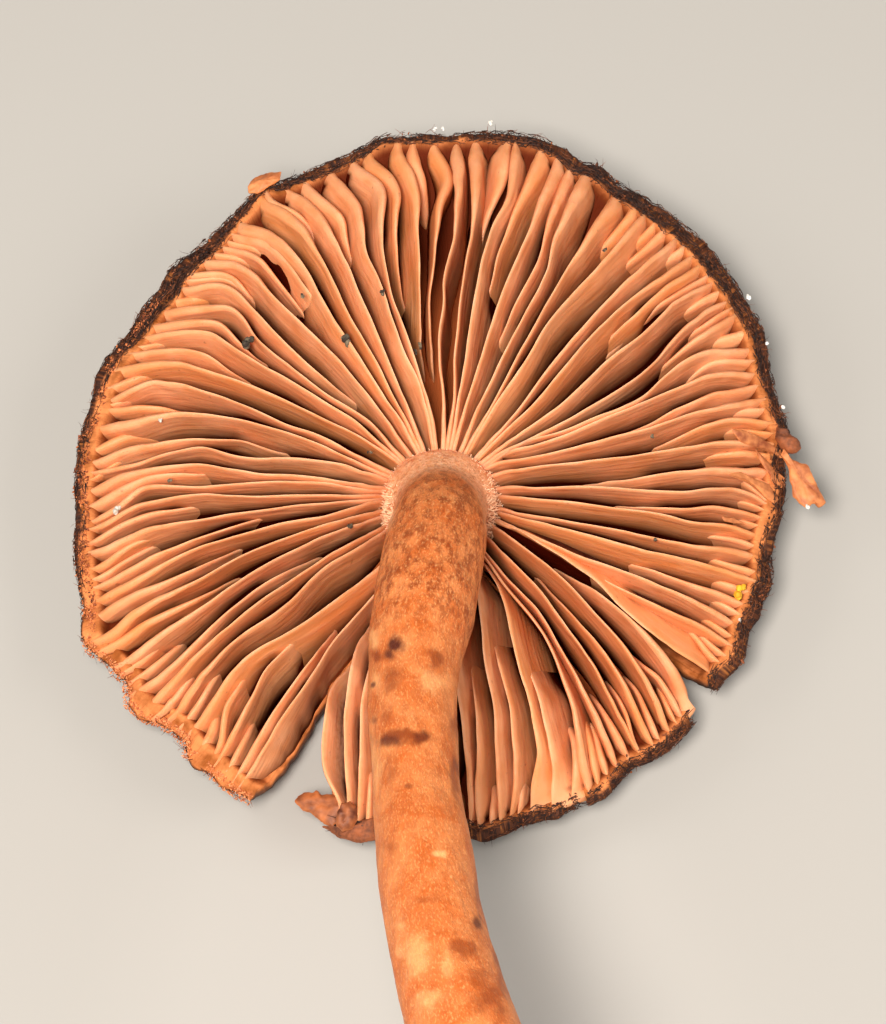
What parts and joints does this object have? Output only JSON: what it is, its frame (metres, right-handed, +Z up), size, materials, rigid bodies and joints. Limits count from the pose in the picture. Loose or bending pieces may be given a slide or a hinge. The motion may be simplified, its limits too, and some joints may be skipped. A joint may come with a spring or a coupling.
{
  "type": "fibrecap mushroom",
  "caption": "Picked fibrecap mushroom lying on its crown: a split round cap with radiating brown gills and a bent fibrous stem.",
  "frame": {"origin": "middle of the small flat on the crown that it rests on", "axes": "+Z up, away from the ground; -Y towards the free end of the stem; +X to the right when the stem's end faces the viewer"},
  "size_m": [0.0375, 0.0631, 0.028],
  "materials": {
    "cap_flesh": "matt cinnamon-brown gill flesh with pale gill edges",
    "stem_flesh": "matt orange-brown fibrous stem, pale and powdery at the top"
  },
  "bodies": {
    "root": {"cap": "cap_flesh", "stem": "stem_flesh"}
  },
  "joints": []
}
